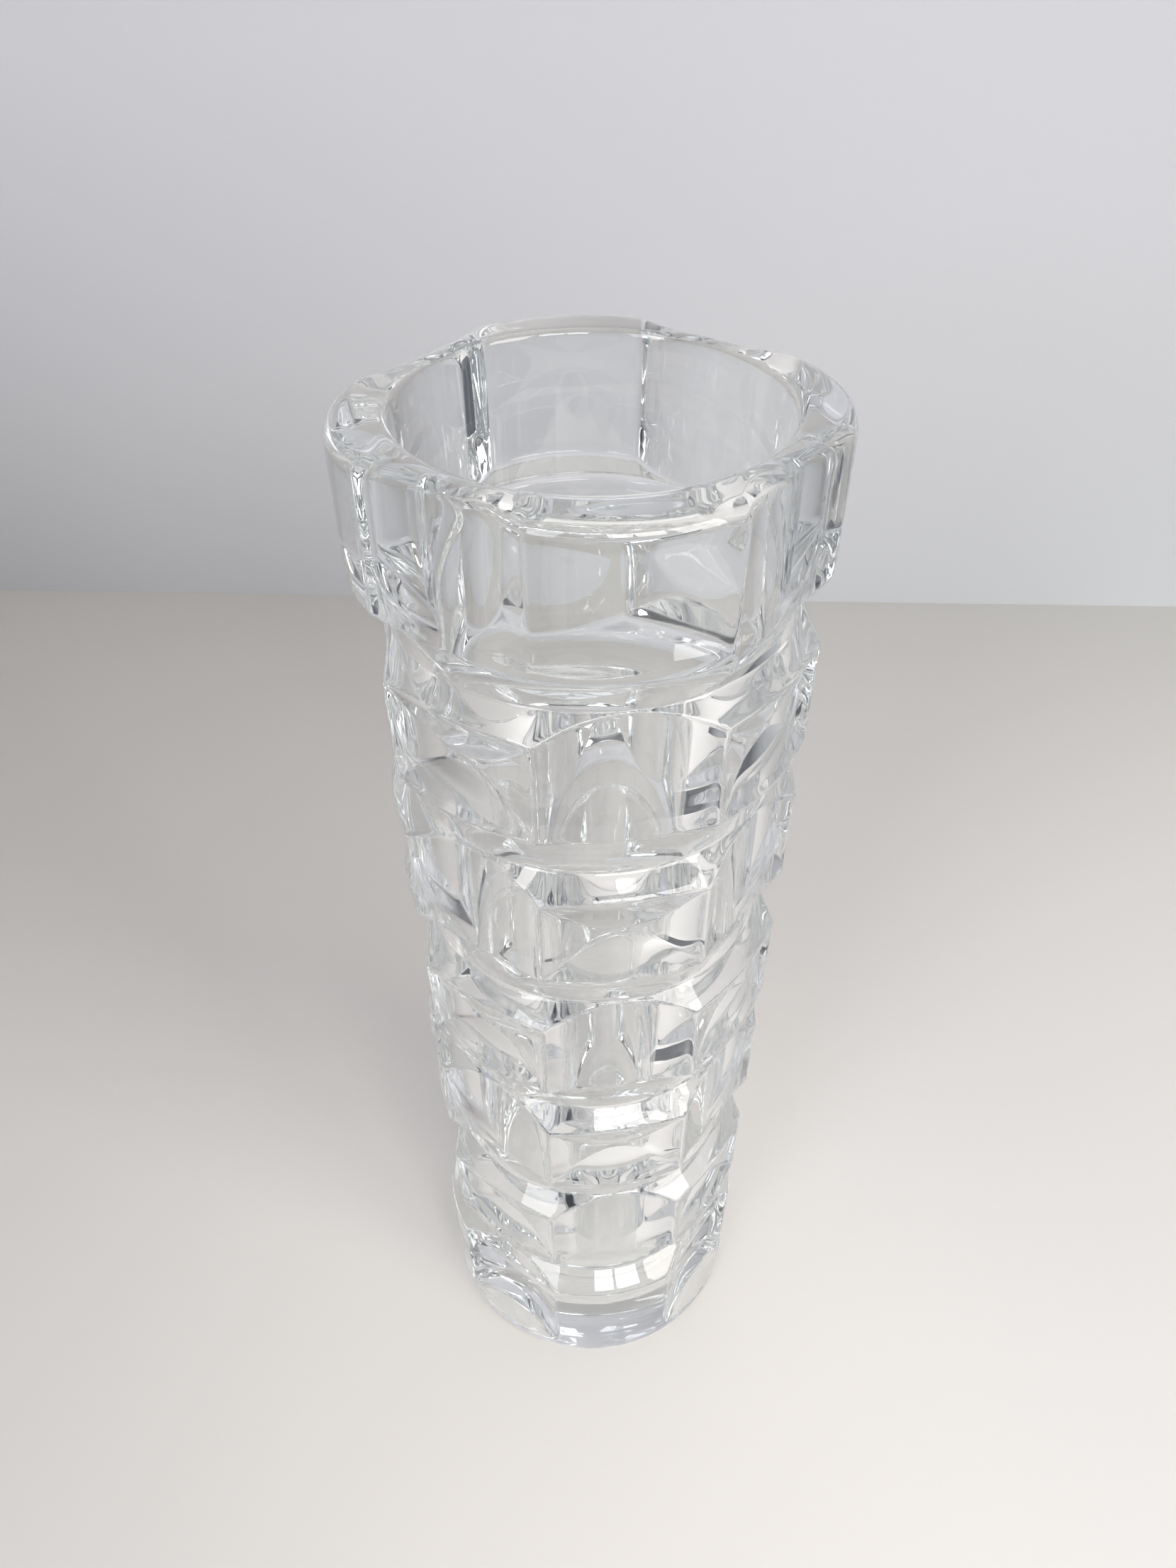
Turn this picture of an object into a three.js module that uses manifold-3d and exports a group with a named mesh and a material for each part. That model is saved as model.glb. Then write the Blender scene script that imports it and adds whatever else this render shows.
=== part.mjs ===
import * as THREE from 'three';
import { mergeVertices } from 'three/addons/utils/BufferGeometryUtils.js';
import Module from 'manifold-3d';

// Pressed crystal vase, millimetres, +Z up, origin at the centre of the foot.
// Overall form: a slightly flared octagonal column with a round bore.
const height = 300;
const footRadius = 46;
const rimRadius = 51;
const footThickness = 4;
const footChamfer = 0.8;

// Levels of one tier, measured up from the seam below it.
const tierPitch = 43;
const tierCount = 5;
const stemHeight = 12;
const rimStemHeight = 9.5;
const sideHeight = 25;
const undersideDrop = 3.6;
const ledgeRise = 5.2;

// Cutting on the eight panels of a tier.
const panelCount = 8;
const scoopDepth = 6;
const notchClearance = 0.3;
const notchDepth = scoopDepth + notchClearance;
const neckInset = 6.4;
const cornerLandAngle = THREE.MathUtils.degToRad(0.6);
const edgeLand = 0.6;

// Bore and rim.
const boreRimRadius = 39.5;
const boreFloorRadius = 35.5;
const floorHeight = 20;
const floorFillet = 8;
const rimBulge = 1.2;
const lipOuterRound = 4;
const lipInnerRound = 1.8;

// Facet counts of the round surfaces.
const roundSegments = 80;
const scoopSegments = 128;
const filletSteps = 5;
const lipSteps = 6;
const cutterMargin = 4;

const panelAngle = 2 * Math.PI / panelCount;
const lean = Math.atan((rimRadius - footRadius) / height);

const wasm = await Module();
wasm.setup();

function cornerRadius(z) {
  return footRadius + (rimRadius - footRadius) * z / height;
}

function neckRadius(z) {
  return cornerRadius(z) - neckInset;
}

function boreRadius(z) {
  const rise = (z - floorHeight) / (height - floorHeight);
  return boreFloorRadius + (boreRimRadius - boreFloorRadius) * rise;
}

function solid(geometry) {
  geometry.deleteAttribute('normal');
  geometry.deleteAttribute('uv');
  const merged = mergeVertices(geometry, 1e-5);
  const mesh = new wasm.Mesh({
    numProp: 3,
    vertProperties: new Float32Array(merged.attributes.position.array),
    triVerts: new Uint32Array(merged.index.array),
  });
  return new wasm.Manifold(mesh);
}

// A turned body from [radius, height] pairs, listed upwards on the outside.
function turned(profile) {
  const points = profile.map(([r, z]) => new THREE.Vector2(r, z));
  const lathe = new THREE.LatheGeometry(points, roundSegments);
  lathe.rotateX(Math.PI / 2);
  return solid(lathe);
}

function closed(profile) {
  return [...profile, profile[0]];
}

// Upright round cutter that scoops one panel between its two corner lands.
function scoopCutter(panel, low, high) {
  const middle = (low + high) / 2;
  const corner = cornerRadius(middle);
  const halfAngle = panelAngle / 2 - cornerLandAngle;
  const halfChord = corner * Math.sin(halfAngle);
  const deepest = corner - scoopDepth;
  const sagitta = corner * Math.cos(halfAngle) - deepest;
  const radius = (halfChord ** 2 + sagitta ** 2) / (2 * sagitta);
  const cutter = new THREE.CylinderGeometry(radius, radius, high - low, scoopSegments);
  cutter.rotateX(Math.PI / 2);
  cutter.rotateZ(Math.PI / scoopSegments);
  cutter.rotateX(-lean);
  cutter.translate(0, -(deepest + radius), middle);
  cutter.rotateZ(panel * panelAngle);
  return solid(cutter);
}

// Ring with a V section: the two bevels that meet half-way up a ring panel.
function notchRing(low, high) {
  const middle = (low + high) / 2;
  const outside = cornerRadius(high) + cutterMargin;
  return turned(closed([
    [outside, low],
    [outside, high],
    [cornerRadius(high), high],
    [cornerRadius(middle) - notchDepth, middle],
    [cornerRadius(low), low],
  ]));
}

// Outline of a tier above its lower seam: neck, underside, side.
function stemAndSide(seam, edge, top, bulge) {
  return [
    [neckRadius(seam), seam],
    [neckRadius(edge - undersideDrop), edge - undersideDrop],
    [cornerRadius(edge) + bulge, edge],
    [cornerRadius(top) + bulge, top],
  ];
}

// Outline above the side: sloping ledge, then neck up to the next seam.
function ledgeAndNeck(edge, seam) {
  return [
    [neckRadius(edge + ledgeRise), edge + ledgeRise],
    [neckRadius(seam), seam],
    [boreRadius(seam), seam],
  ];
}

function scooped(body, evenPanels, low, high) {
  let result = body;
  for (let panel = evenPanels ? 0 : 1; panel < panelCount; panel += 2) {
    result = result.subtract(scoopCutter(panel, low, high));
  }
  return result;
}

function notched(body, evenPanels, low, high) {
  const ring = notchRing(low, high);
  let result = body;
  for (let panel = evenPanels ? 0 : 1; panel < panelCount; panel += 2) {
    const scoop = scoopCutter(panel, low - cutterMargin, high + cutterMargin);
    result = result.subtract(ring.intersect(scoop));
  }
  return result;
}

// Plain disc that the column stands on.
function foot() {
  return turned([
    [0, 0],
    [footRadius - footChamfer, 0],
    [footRadius, footChamfer],
    [cornerRadius(footThickness), footThickness],
    [0, footThickness],
  ]);
}

// Lowest tier, solid up to the floor of the bore.
function baseTier() {
  const edge = stemHeight + sideHeight;
  const fillet = [];
  for (let step = 0; step <= filletSteps; step += 1) {
    const turn = step / filletSteps * Math.PI / 2;
    const r = boreFloorRadius - floorFillet + floorFillet * Math.cos(turn);
    fillet.push([r, floorHeight + floorFillet * (1 - Math.sin(turn))]);
  }
  const body = turned([
    [0, footThickness],
    [cornerRadius(footThickness), footThickness],
    [cornerRadius(edge), edge],
    ...ledgeAndNeck(edge, tierPitch),
    ...fillet,
    [0, floorHeight],
  ]);
  return scooped(body, false, footThickness - cutterMargin, tierPitch);
}

// One of the middle tiers; scoops and notched panels alternate round it.
function panelTier(index) {
  const seam = tierPitch * index;
  const nextSeam = seam + tierPitch;
  const lowEdge = seam + stemHeight;
  const highEdge = lowEdge + sideHeight;
  const body = turned(closed([
    ...stemAndSide(seam, lowEdge, highEdge, 0),
    ...ledgeAndNeck(highEdge, nextSeam),
    [boreRadius(seam), seam],
  ]));
  const scoopEven = index % 2 === 1;
  const cut = scooped(body, scoopEven, seam, nextSeam);
  return notched(cut, !scoopEven, lowEdge + edgeLand, highEdge - edgeLand);
}

// Top tier with the broad rounded lip.
function rimTier() {
  const seam = tierPitch * (tierCount + 1);
  const lipStart = height - lipOuterRound;
  const outerCentre = cornerRadius(lipStart) + rimBulge - lipOuterRound;
  const innerCentre = boreRimRadius + lipInnerRound;
  const lip = [];
  for (let step = 1; step <= lipSteps; step += 1) {
    const turn = step / lipSteps * Math.PI / 2;
    const r = outerCentre + lipOuterRound * Math.cos(turn);
    lip.push([r, lipStart + lipOuterRound * Math.sin(turn)]);
  }
  for (let step = 0; step <= lipSteps / 2; step += 1) {
    const turn = step / (lipSteps / 2) * Math.PI / 2;
    const r = innerCentre - lipInnerRound * Math.sin(turn);
    lip.push([r, height - lipInnerRound * (1 - Math.cos(turn))]);
  }
  const body = turned(closed([
    ...stemAndSide(seam, seam + rimStemHeight, lipStart, rimBulge),
    ...lip,
    [boreRadius(seam), seam],
  ]));
  return scooped(body, false, seam, height + cutterMargin);
}

function piece(name, body, color) {
  const result = body.getMesh();
  const geometry = new THREE.BufferGeometry();
  const positions = new THREE.BufferAttribute(result.vertProperties, result.numProp);
  geometry.setAttribute('position', positions);
  geometry.setIndex(new THREE.BufferAttribute(result.triVerts, 1));
  geometry.computeVertexNormals();
  const material = new THREE.MeshStandardMaterial({ color, roughness: 0.05, metalness: 0 });
  const mesh = new THREE.Mesh(geometry, material);
  mesh.name = name;
  return mesh;
}

const vase = new THREE.Group();
vase.name = 'cut_crystal_vase';
vase.add(piece('foot_disc', foot(), '#dbe2e4'));
vase.add(piece('base_tier', baseTier(), '#e1e7e9'));
for (let index = 1; index <= tierCount; index += 1) {
  vase.add(piece(`panel_tier_${index}`, panelTier(index), index % 2 ? '#dde4e6' : '#e3e9ea'));
}
vase.add(piece('rim_tier', rimTier(), '#e6ebec'));

export default vase;
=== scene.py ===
import bmesh
import bpy
import math
from mathutils import Matrix, Vector


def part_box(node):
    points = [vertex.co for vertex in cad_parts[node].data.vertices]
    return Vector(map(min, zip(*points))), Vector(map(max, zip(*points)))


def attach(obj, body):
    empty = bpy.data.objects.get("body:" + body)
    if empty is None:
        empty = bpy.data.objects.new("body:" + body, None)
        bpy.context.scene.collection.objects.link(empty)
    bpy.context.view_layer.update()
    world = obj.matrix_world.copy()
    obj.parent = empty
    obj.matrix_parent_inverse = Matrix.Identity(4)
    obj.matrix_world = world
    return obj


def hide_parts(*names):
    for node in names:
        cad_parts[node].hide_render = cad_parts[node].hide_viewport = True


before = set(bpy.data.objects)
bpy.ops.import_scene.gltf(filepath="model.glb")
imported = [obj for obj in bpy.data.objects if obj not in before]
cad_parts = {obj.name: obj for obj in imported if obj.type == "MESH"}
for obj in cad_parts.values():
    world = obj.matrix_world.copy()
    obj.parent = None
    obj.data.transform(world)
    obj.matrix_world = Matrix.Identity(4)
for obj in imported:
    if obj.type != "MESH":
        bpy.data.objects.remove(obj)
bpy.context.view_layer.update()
mm = 0.001


def toLinear(hexColour):  # sRGB hex to the linear values that shaders work in
    channels = [int(hexColour[i:i + 2], 16) / 255 for i in (1, 3, 5)]
    linear = [c / 12.92 if c <= 0.04045 else ((c + 0.055) / 1.055) ** 2.4 for c in channels]
    return (*linear, 1.0)


def addNode(tree, kind, settings=None, links=None):  # one node, its settings and what feeds it
    node = tree.nodes.new(kind)
    for name, value in (settings or {}).items():
        if isinstance(name, int) or name in node.inputs:
            node.inputs[name].default_value = value
        else:
            setattr(node, name, value)
    for name, source in (links or {}).items():
        tree.links.new(source, node.inputs[name])
    return node


def newMaterial(name):
    material = bpy.data.materials.new(name)
    material.use_nodes = True
    material.node_tree.nodes.clear()
    return material, material.node_tree


def addObject(name, data, place=(0, 0, 0)):  # place in mm
    thing = bpy.data.objects.new(name, data)
    thing.location = Vector(place) * mm
    bpy.context.scene.collection.objects.link(thing)
    return thing


view = {
    "place": (-35.6, -219.5, 389.1),  # mm, above and in front of the vase
    "tilt": 50.06,  # degrees up from looking straight down
    "turn": -8.99,
    "lens": 27.02, "sensor": 36,
    "nearest": 0.01, "farthest": 20,  # m
}
cameraData = bpy.data.cameras.new("viewCamera")
cameraData.lens = view["lens"]
cameraData.sensor_width = view["sensor"]
cameraData.clip_start = view["nearest"]
cameraData.clip_end = view["farthest"]
camera = addObject("viewCamera", cameraData, view["place"])
camera.rotation_euler = (math.radians(view["tilt"]), 0, math.radians(view["turn"]))
bpy.context.scene.camera = camera
print("camera placed")


vase = {  # mm, and degrees for the columns
    "panels": 8, "middleTiers": 5,
    "footRadius": 46, "rimRadius": 51,
    "footChamfer": 0.8,
    "stem": 12, "rimStem": 9.5, "side": 25,
    "underside": 3.6, "ledge": 5.2,
    "scoopDepth": 6, "notchDepth": 6.3, "neckInset": 6.4,
    "footRunOut": [(0.3, 1.2), (0.7, 4), (1, 12)],  # share of the scoop's depth, height over the disc
    "ringFlat": 1.2,  # how much flatter a ring panel is than a true circle
    "rimBulge": 1.15,
    "lipRound": 4, "lipInner": 1.8,
    "lipShare": 0.8,  # most of the wall's top that the outer round may take
    "boreRimRadius": 39.5, "boreFloorRadius": 35.5,
    "floorHeight": 20, "floorFillet": 8,
    "edgeRound": 1.2, "edgeShare": 0.33,  # fire-polished edges, and their most on a short face
    "neckCove": 0.4,  # the necks are pressed a little hollow
    "coveRise": 3, "rimCoveRise": 2,
    # columns gather towards the corner edges, so the edges stay crisp
    "columns": [0, 3.3, 6.6, 9.9, 13.2, 16.2, 18.9, 21.1, 22.5],
    "lipSteps": 5, "lipInnerSteps": 3, "boreSteps": 12, "filletSteps": 5,
    "mergeGap": 0.002,
}
middleTiers = range(1, vase["middleTiers"] + 1)
tierNames = ["base_tier", *(f"panel_tier_{i}" for i in middleTiers), "rim_tier"]
seams = [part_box(name)[0].z / mm for name in tierNames]
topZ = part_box("rim_tier")[1].z / mm
halfPanel = 180 / vase["panels"]


def cornerRadius(z):
    return vase["footRadius"] + (vase["rimRadius"] - vase["footRadius"]) * z / topZ


def boreRadius(z):
    rise = (z - vase["floorHeight"]) / (topZ - vase["floorHeight"])
    return vase["boreFloorRadius"] + (vase["boreRimRadius"] - vase["boreFloorRadius"]) * rise


def scoopInset(angle, z):  # how far the round scoop lies inside the corner radius
    corner = cornerRadius(z)
    half = math.radians(halfPanel)
    deepest = corner - vase["scoopDepth"]
    sagitta = corner * math.cos(half) - deepest
    radius = ((corner * math.sin(half)) ** 2 + sagitta ** 2) / (2 * sagitta)
    reach = deepest + radius
    across = reach * math.sin(math.radians(angle))
    return corner - (reach * math.cos(math.radians(angle)) - math.sqrt(radius ** 2 - across ** 2))


def at(inset, z):  # a point that far inside the corner radius
    return Vector((cornerRadius(z) - inset, z))


def panelColumn(tier, angle, isRing):  # corner points of one upright line on a middle tier
    low = seams[tier] + vase["stem"]
    high = low + vase["side"]
    middle = (low + high) / 2
    neck = vase["neckInset"]
    scoop = scoopInset(angle, middle)
    slopeDown = vase["underside"] / neck
    slopeUp = vase["ledge"] / neck
    points = [at(neck, low - vase["underside"])]
    if isRing:  # a proud panel with a bow-tie notch
        flat = vase["ringFlat"] * (1 - (angle / halfPanel) ** 2)
        share = max(0, scoop - flat) / (vase["notchDepth"] - flat)
        points += [
            at(flat, low - flat * slopeDown),
            at(scoop, low + share * (middle - low)),
            at(scoop, high - share * (high - middle)),
            at(flat, high + flat * slopeUp),
        ]
    else:  # a hollow panel, arched where it runs out over the slopes
        lowEdge = low - scoop * slopeDown
        highEdge = high + scoop * slopeUp
        third = (highEdge - lowEdge) / 3
        points += [at(scoop, z) for z in (lowEdge, lowEdge + third, highEdge - third, highEdge)]
    points.append(at(neck, high + vase["ledge"]))
    return points


def baseColumn(angle, isRing):  # foot disc, then the plain convex or scooped side
    foot = seams[0]
    edge = vase["stem"] + vase["side"]
    neck = vase["neckInset"]
    scoop = 0 if isRing else scoopInset(angle, edge / 2)
    points = [
        Vector((vase["footRadius"] - vase["footChamfer"], 0)),
        Vector((vase["footRadius"], vase["footChamfer"])),
        at(0, foot),
    ]
    points += [at(scoop * share, foot + rise) for share, rise in vase["footRunOut"]]
    points.append(at(scoop, edge + scoop * vase["ledge"] / neck))
    points.append(at(neck, edge + vase["ledge"]))
    return points


def rimColumn(angle, isRing):  # last side, broad lip and the turn into the bore
    low = seams[-1] + vase["rimStem"]
    neck = vase["neckInset"]
    if isRing:
        inset = -vase["rimBulge"] * (1 - (angle / halfPanel) ** 2)
    else:
        inset = scoopInset(angle, (low + topZ) / 2)
    crest = vase["boreRimRadius"] + vase["lipInner"]
    lipRound = min(vase["lipRound"], (cornerRadius(topZ) - inset - crest) * vase["lipShare"])
    lipStart = topZ - lipRound
    slopeDown = vase["underside"] / neck
    side = [
        at(neck, low - vase["underside"]),
        at(inset, low - inset * slopeDown),
        at(inset, (low + lipStart) / 2),
    ]
    outer = cornerRadius(lipStart) - inset
    lip = []
    for step in range(vase["lipSteps"] + 1):
        turn = math.pi / 2 * step / vase["lipSteps"]
        r = outer - lipRound * (1 - math.cos(turn))
        lip.append(Vector((r, lipStart + lipRound * math.sin(turn))))
    lip.append(Vector(((lip[-1].x + crest) / 2, topZ)))
    for step in range(vase["lipInnerSteps"] + 1):
        turn = math.pi / 2 * step / vase["lipInnerSteps"]
        r = crest - vase["lipInner"] * math.sin(turn)
        lip.append(Vector((r, topZ - vase["lipInner"] * (1 - math.cos(turn)))))
    return side, lip


def boreColumn():  # down the bore, round the fillet and in to the middle of the floor
    start = topZ - vase["lipInner"]
    stop = vase["floorHeight"] + vase["floorFillet"]
    points = []
    for step in range(1, vase["boreSteps"] + 1):
        z = start + (stop - start) * step / vase["boreSteps"]
        points.append(Vector((boreRadius(z), z)))
    for step in range(1, vase["filletSteps"] + 1):
        turn = math.pi / 2 * step / vase["filletSteps"]
        r = vase["boreFloorRadius"] - vase["floorFillet"] * (1 - math.cos(turn))
        points.append(Vector((r, stop - vase["floorFillet"] * math.sin(turn))))
    points.append(Vector((vase["boreFloorRadius"] * 0.4, vase["floorHeight"])))  # one ring part way in
    points.append(Vector((0, vase["floorHeight"])))
    return points


def withHolds(points, before, after):  # keeps each corner, with a hold on either side of it
    path = [before, *points, after]
    result = []
    for last, corner, following in zip(path, path[1:], path[2:]):
        for other in (last, None, following):
            if other is None:
                result.append(corner)
                continue
            step = other - corner
            reach = min(vase["edgeRound"], step.length * vase["edgeShare"])
            result.append(corner + step.normalized() * reach if reach > 0 else corner)
    return result


def fullColumn(angle, isEven):  # every row of one upright line, foot to bore floor
    neck = vase["neckInset"]
    cove = neck + vase["neckCove"]
    rows = [Vector((0, 0)), Vector((vase["footRadius"] * 0.5, 0))]
    rows += withHolds(baseColumn(angle, isEven), rows[-1], at(neck, seams[1]))
    for tier in middleTiers:
        isRing = isEven == (tier % 2 == 0)  # the two kinds change places from tier to tier
        rows.append(at(cove, seams[tier] + vase["coveRise"]))
        rows += withHolds(panelColumn(tier, angle, isRing), rows[-1], at(neck, seams[tier + 1]))
    rows.append(at(cove, seams[-1] + vase["rimCoveRise"]))
    side, lip = rimColumn(angle, isEven)
    rows += withHolds(side, rows[-1], lip[0]) + lip + boreColumn()
    return rows


def placeOnForm(vert, columns, steps):  # moves a point of the plain drum to its place on the cut form
    row = round(vert.co.z)
    column = round(math.degrees(math.atan2(vert.co.x, -vert.co.y)) / (360 / steps / vase["panels"]))
    panel = math.floor(column / steps + 0.5)
    offset = column - panel * steps
    isEven = panel % 2 == 0 or abs(offset) == steps // 2  # a corner belongs to both of its panels
    r, z = columns[isEven, abs(offset)][row]
    angle = panel * 2 * halfPanel + math.copysign(vase["columns"][abs(offset)], offset)
    turn = math.radians(angle)
    vert.co = Vector((r * math.sin(turn), -r * math.cos(turn), z)) * mm


def buildVase():
    steps = 2 * (len(vase["columns"]) - 1)  # columns across one panel
    columns = {}
    for isEven in (True, False):
        for i, angle in enumerate(vase["columns"]):
            columns[isEven, i] = fullColumn(angle, isEven)
    rowCount = len(columns[True, 0])
    bm = bmesh.new()
    line = [bm.verts.new((0, -1, row)) for row in range(rowCount)]  # a plain upright line of rows
    edges = [bm.edges.new(pair) for pair in zip(line, line[1:])]
    bmesh.ops.spin(bm, geom=line + edges, cent=(0, 0, 0), axis=(0, 0, 1), dvec=(0, 0, 0),
                   angle=math.tau, steps=steps * vase["panels"], use_merge=True, use_duplicate=False)
    for vert in bm.verts:
        placeOnForm(vert, columns, steps)
    bmesh.ops.remove_doubles(bm, verts=bm.verts, dist=vase["mergeGap"] * mm)
    bmesh.ops.recalc_face_normals(bm, faces=bm.faces)
    for face in bm.faces:
        face.smooth = True
    mesh = bpy.data.meshes.new("crystal_body")
    bm.to_mesh(mesh)
    bm.free()
    body = addObject("crystal_body", mesh)
    rounding = body.modifiers.new("firePolish", "SUBSURF")
    rounding.levels = 1
    rounding.render_levels = 1
    return body


body = buildVase()
print("vase body built", len(body.data.vertices), "points")


glassLook = {
    "tint": "#fcfdfd",
    "ior": 1.53,
    "roughness": 0.012,
    "wave": 14,  # mm between the soft swells left by pressing
    "waveDepth": 0.02,
    "depthTint": "#dde3e5", "depthDensity": 5.0,  # thick glass turns a cool grey
    "passesFace": 0.52,  # lamp light let through at each face, so the shadow is as faint as crystal's
    "passesLevel": 1.0,  # at a level face, so the table shows bright through the solid base
    "levelWithin": 0.03,
}


def passingLight(tree):  # how much of a shadow ray goes straight on
    surface = addNode(tree, "ShaderNodeNewGeometry")
    facing = addNode(tree, "ShaderNodeSeparateXYZ", None, {"Vector": surface.outputs["Normal"]})
    isLevel = addNode(tree, "ShaderNodeMath", {
        "operation": "COMPARE", 1: -1.0, 2: glassLook["levelWithin"],
    }, {0: facing.outputs["Z"]})
    passes = addNode(tree, "ShaderNodeMath", {
        "operation": "MULTIPLY_ADD",
        1: glassLook["passesLevel"] - glassLook["passesFace"], 2: glassLook["passesFace"],
    }, {0: isLevel.outputs["Value"]})
    path = addNode(tree, "ShaderNodeLightPath")
    share = addNode(tree, "ShaderNodeMath", {"operation": "MULTIPLY"},
                    {0: path.outputs["Is Shadow Ray"], 1: passes.outputs["Value"]})
    return share.outputs["Value"]


def makeCrystal():  # pressed and fire-polished crystal, clear with faint swells
    material, tree = newMaterial("crystalGlassFirePolished")
    place = addNode(tree, "ShaderNodeTexCoord")
    swell = addNode(tree, "ShaderNodeTexNoise",
                    {"Scale": 1 / (glassLook["wave"] * mm), "Detail": 1.0, "Roughness": 0.4},
                    {"Vector": place.outputs["Object"]})
    bump = addNode(tree, "ShaderNodeBump", {"Strength": 1.0, "Distance": glassLook["waveDepth"] * mm},
                   {"Height": swell.outputs["Fac"]})
    glass = addNode(tree, "ShaderNodeBsdfPrincipled", {
        "Base Color": toLinear(glassLook["tint"]),
        "Roughness": glassLook["roughness"],
        "IOR": glassLook["ior"],
        "Transmission Weight": 1.0,
    }, {"Normal": bump.outputs["Normal"]})
    depth = addNode(tree, "ShaderNodeVolumeAbsorption", {
        "Color": toLinear(glassLook["depthTint"]),
        "Density": glassLook["depthDensity"],
    })
    clear = addNode(tree, "ShaderNodeBsdfTransparent")
    both = addNode(tree, "ShaderNodeMixShader", None, {
        0: passingLight(tree), 1: glass.outputs["BSDF"], 2: clear.outputs["BSDF"]})
    addNode(tree, "ShaderNodeOutputMaterial", None,
            {"Surface": both.outputs["Shader"], "Volume": depth.outputs["Volume"]})
    return material


body.data.materials.append(makeCrystal())
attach(body, "root")
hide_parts("foot_disc", *tierNames)
print("crystal made")


room = {  # mm
    "wallLeft": (-305, 490), "wallRight": (430, 353.5),  # two points along the foot of the wall
    "wallReach": 2600,
    "tableLow": (-1300, -700), "tableHigh": (455, 700),  # it ends to the right, just out of view
    "tableGap": 0.25,  # a hair of air under the ground foot
    "grain": 3, "grainDepth": 0.1, "grainStrength": 0.15, "roughness": 0.7,
}
# painted light and shade on the table: lightest at the near right, darker towards the far side and the
# left, where less lamp light falls
tablePaintedShade = {
    "low": (-350, -200), "high": (350, 420),
    "nearLeft": "#d4d0cc", "nearRight": "#f0eeec", "farLeft": "#c8c4c0", "farRight": "#cccac6",
}
# painted shade on the wall: darkest at the bottom left, lighter towards the top and the right, where the
# lamps light it more
wallPaintedShade = {
    "low": (-350, 0), "high": (350, 300),
    "nearLeft": "#b6b6b9", "nearRight": "#dbdee1", "farLeft": "#dadadf", "farRight": "#d9d9de",
}


def makePaintWithPaintedShade(name, paintedShades):  # matt paint with a faint grain, with painted light and shade blended softly from corner to corner
    material, tree = newMaterial(name)
    place = addNode(tree, "ShaderNodeTexCoord")
    split = addNode(tree, "ShaderNodeSeparateXYZ", None, {"Vector": place.outputs["Object"]})
    ways = []
    for i, axis in enumerate("XY"):
        ways.append(addNode(tree, "ShaderNodeMapRange", {
            "From Min": paintedShades["low"][i] * mm, "From Max": paintedShades["high"][i] * mm,
        }, {"Value": split.outputs[axis]}))
    # painted light and shade: four corner colours, blended left to right and then near to far
    blends = []
    for side in ("near", "far"):
        blends.append(addNode(tree, "ShaderNodeMixRGB", {
            "Color1": toLinear(paintedShades[side + "Left"]), "Color2": toLinear(paintedShades[side + "Right"]),
        }, {"Fac": ways[0].outputs["Result"]}))
    paintedShadeColour = addNode(tree, "ShaderNodeMixRGB", None, {
        "Fac": ways[1].outputs["Result"], "Color1": blends[0].outputs["Color"],
        "Color2": blends[1].outputs["Color"]})
    fleck = addNode(tree, "ShaderNodeTexNoise", {"Scale": 1 / (room["grain"] * mm), "Detail": 3.0},
                    {"Vector": place.outputs["Object"]})
    bump = addNode(tree, "ShaderNodeBump", {
        "Strength": room["grainStrength"], "Distance": room["grainDepth"] * mm,
    }, {"Height": fleck.outputs["Fac"]})
    paint = addNode(tree, "ShaderNodeBsdfPrincipled", {"Roughness": room["roughness"]},
                    {"Base Color": paintedShadeColour.outputs["Color"], "Normal": bump.outputs["Normal"]})
    addNode(tree, "ShaderNodeOutputMaterial", None, {"Surface": paint.outputs["BSDF"]})
    return material


def makeSheet(name, material, low, high):
    bm = bmesh.new()
    bmesh.ops.create_grid(bm, x_segments=2, y_segments=2, size=0.5)
    size = (high[0] - low[0], high[1] - low[1], 1)
    middle = ((high[0] + low[0]) / 2, (high[1] + low[1]) / 2, 0)
    bmesh.ops.scale(bm, vec=Vector(size) * mm, verts=bm.verts)
    bmesh.ops.translate(bm, vec=Vector(middle) * mm, verts=bm.verts)
    mesh = bpy.data.meshes.new(name)
    bm.to_mesh(mesh)
    bm.free()
    sheet = addObject(name, mesh)
    sheet.data.materials.append(material)
    return sheet


table = makeSheet("table", makePaintWithPaintedShade("mattLacquerTablePaintedShade", tablePaintedShade), room["tableLow"], room["tableHigh"])
table.location = (0, 0, -room["tableGap"] * mm)
reach = room["wallReach"]
wall = makeSheet("wall", makePaintWithPaintedShade("rolledEmulsionWallPaintedShade", wallPaintedShade), (-reach, -reach), (reach, reach))
left, right = Vector((*room["wallLeft"], 0)) * mm, Vector((*room["wallRight"], 0)) * mm
along = (right - left).normalized()
wall.matrix_world = Matrix.Translation((left + right) / 2) @ Matrix((  # stands the sheet on edge
    (along.x, 0, along.y, 0), (along.y, 0, -along.x, 0), (0, 1, 0, 0), (0, 0, 0, 1)))

windows = {  # mm and watts: name, place, size, power, colour
    "rightWindow": ((800, -880, 850), (560, 740), 9.9, "#fffaf5"),
    "leftWindow": ((-780, -860, 800), (450, 700), 5.2, "#f6f9ff"),
    "backPaneLeft": ((0, -1080, 930), (250, 420), 3.0, "#ffffff"),
    "backPaneRight": ((300, -1050, 930), (310, 420), 3.8, "#ffffff"),
}
windowAim = (0, 0, 120)
ceilingSpot = {
    "place": (120, -480, 880), "aim": (5, -55, 0),
    "radius": 60, "cone": 22, "power": 4.4, "colour": "#fff8f1",
}


def addLamp(name, kind, place, aim, power, colour):
    data = bpy.data.lights.new(name, kind)
    data.energy = power
    data.color = toLinear(colour)[:3]
    lamp = addObject(name, data, place)
    towards = (Vector(aim) - Vector(place)) * mm
    lamp.rotation_euler = towards.to_track_quat("-Z", "Y").to_euler()
    return data


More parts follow.
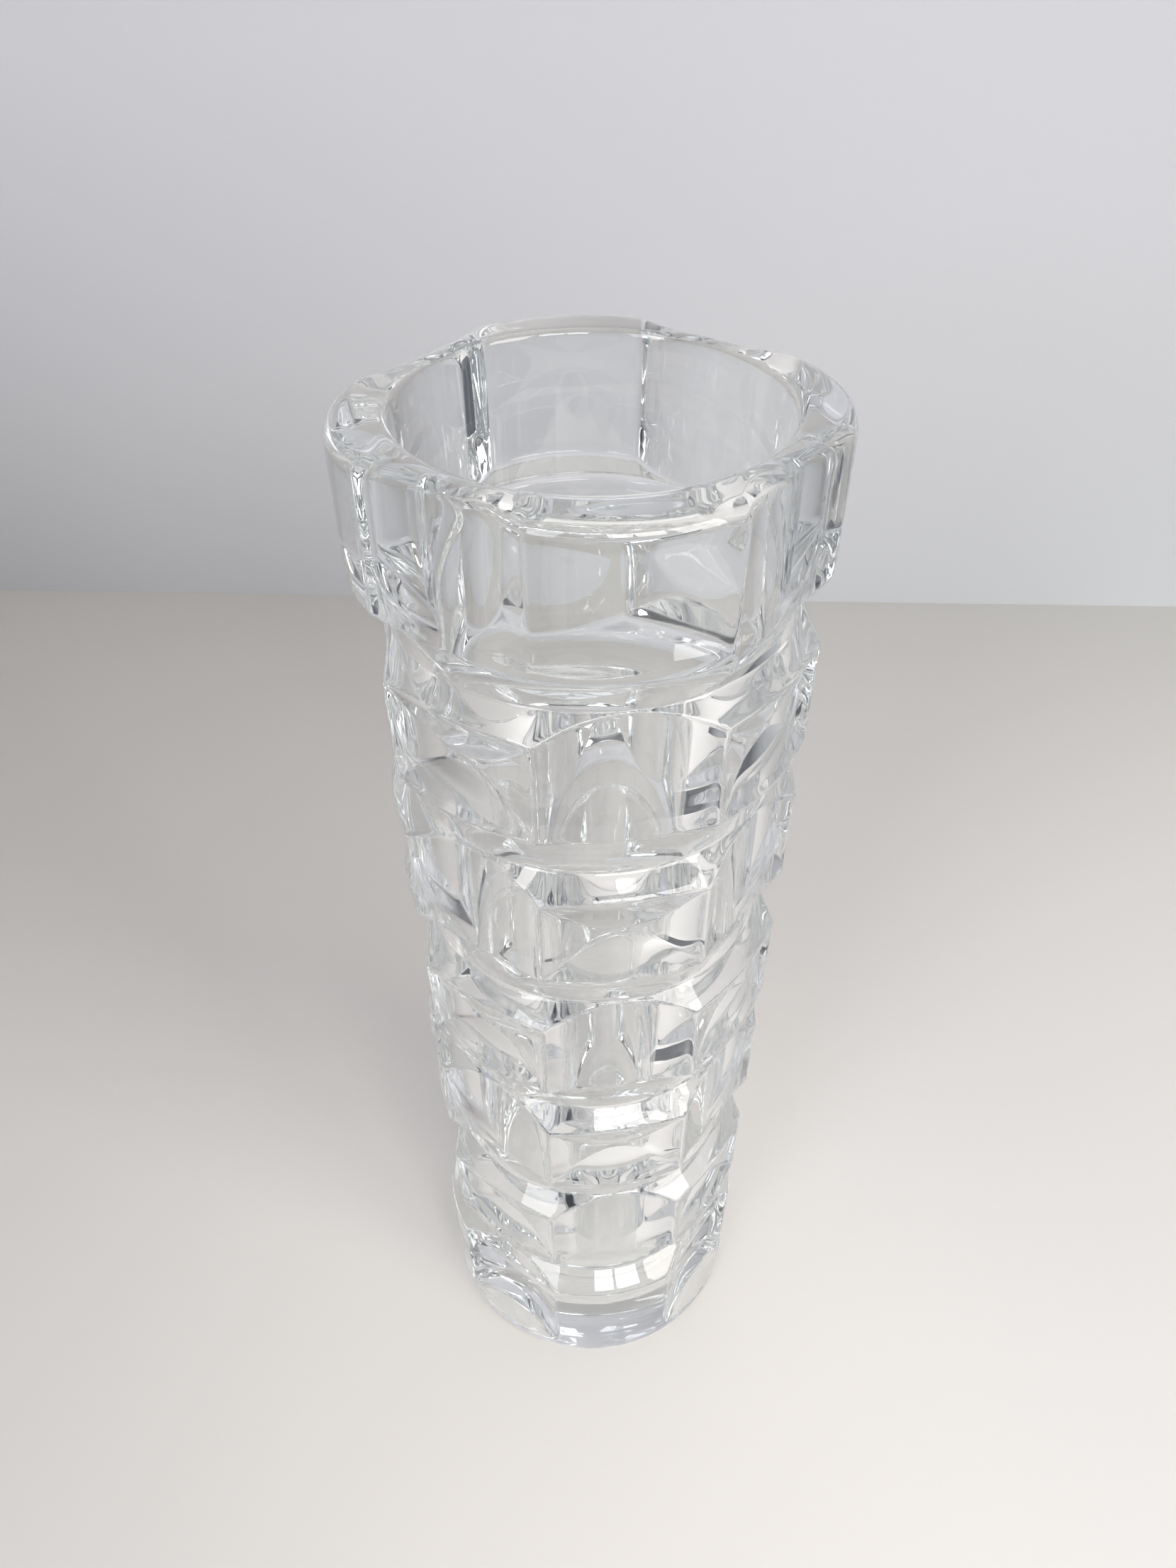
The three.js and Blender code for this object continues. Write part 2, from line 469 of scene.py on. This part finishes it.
for name, (place, size, power, colour) in windows.items():
    window = addLamp(name, "AREA", place, windowAim, power, colour)
    window.shape = "RECTANGLE"
    window.size, window.size_y = size[0] * mm, size[1] * mm
spot = addLamp("ceilingSpot", "SPOT", ceilingSpot["place"], ceilingSpot["aim"],
               ceilingSpot["power"], ceilingSpot["colour"])
spot.spot_size = math.radians(ceilingSpot["cone"])
spot.spot_blend = 1.0
spot.shadow_soft_size = ceilingSpot["radius"] * mm

surround = {
    "lowest": -0.2,  # height of a direction where the tones start, 1 is straight up
    "tones": [(0, "#64676d"), (0.16, "#64676d"), (0.22, "#2e3138"),  # floor, then the room at eye level
              (0.68, "#50545b"), (0.88, "#cdccc9"), (1, "#cdccc9")],  # top of the walls, then the ceiling
    "strength": 1.0,
    "darkSide": (-0.5, -0.74, 0.45), "darkColour": "#26292f",  # the dim side, behind the camera
    "darkFrom": 0.86, "darkTo": 0.97,
}


def makeWorld():
    world = bpy.data.worlds.new("room")
    world.use_nodes = True
    tree = world.node_tree
    tree.nodes.clear()
    direction = addNode(tree, "ShaderNodeTexCoord")
    upright = addNode(tree, "ShaderNodeSeparateXYZ", None, {"Vector": direction.outputs["Generated"]})
    height = addNode(tree, "ShaderNodeMapRange", {"From Min": surround["lowest"], "From Max": 1.0},
                     {"Value": upright.outputs["Z"]})
    sky = addNode(tree, "ShaderNodeValToRGB", None, {"Fac": height.outputs["Result"]})
    stops = sky.color_ramp.elements
    stops[0].color = toLinear(surround["tones"][0][1])
    stops[1].color = toLinear(surround["tones"][-1][1])
    for position, colour in surround["tones"][1:-1]:
        stops.new(position).color = toLinear(colour)
    toDark = Vector(surround["darkSide"]).normalized()
    facing = addNode(tree, "ShaderNodeVectorMath", {"operation": "DOT_PRODUCT", 1: toDark},
                     {0: direction.outputs["Generated"]})
    dim = addNode(tree, "ShaderNodeMapRange", {
        "interpolation_type": "SMOOTHSTEP",
        "From Min": surround["darkFrom"], "From Max": surround["darkTo"],
    }, {"Value": facing.outputs["Value"]})
    shaded = addNode(tree, "ShaderNodeMixRGB", {"Color2": toLinear(surround["darkColour"])},
                     {"Fac": dim.outputs["Result"], "Color1": sky.outputs["Color"]})
    glow = addNode(tree, "ShaderNodeBackground", {"Strength": surround["strength"]},
                   {"Color": shaded.outputs["Color"]})
    addNode(tree, "ShaderNodeOutputWorld", None, {"Surface": glow.outputs["Background"]})
    return world


scene = bpy.context.scene
scene.world = makeWorld()
scene.view_settings.view_transform = "Standard"
scene.cycles.max_bounces = 24  # cut glass turns a ray many times before it leaves
scene.cycles.glossy_bounces = 20
scene.cycles.transmission_bounces = 24
print("room and lights set")
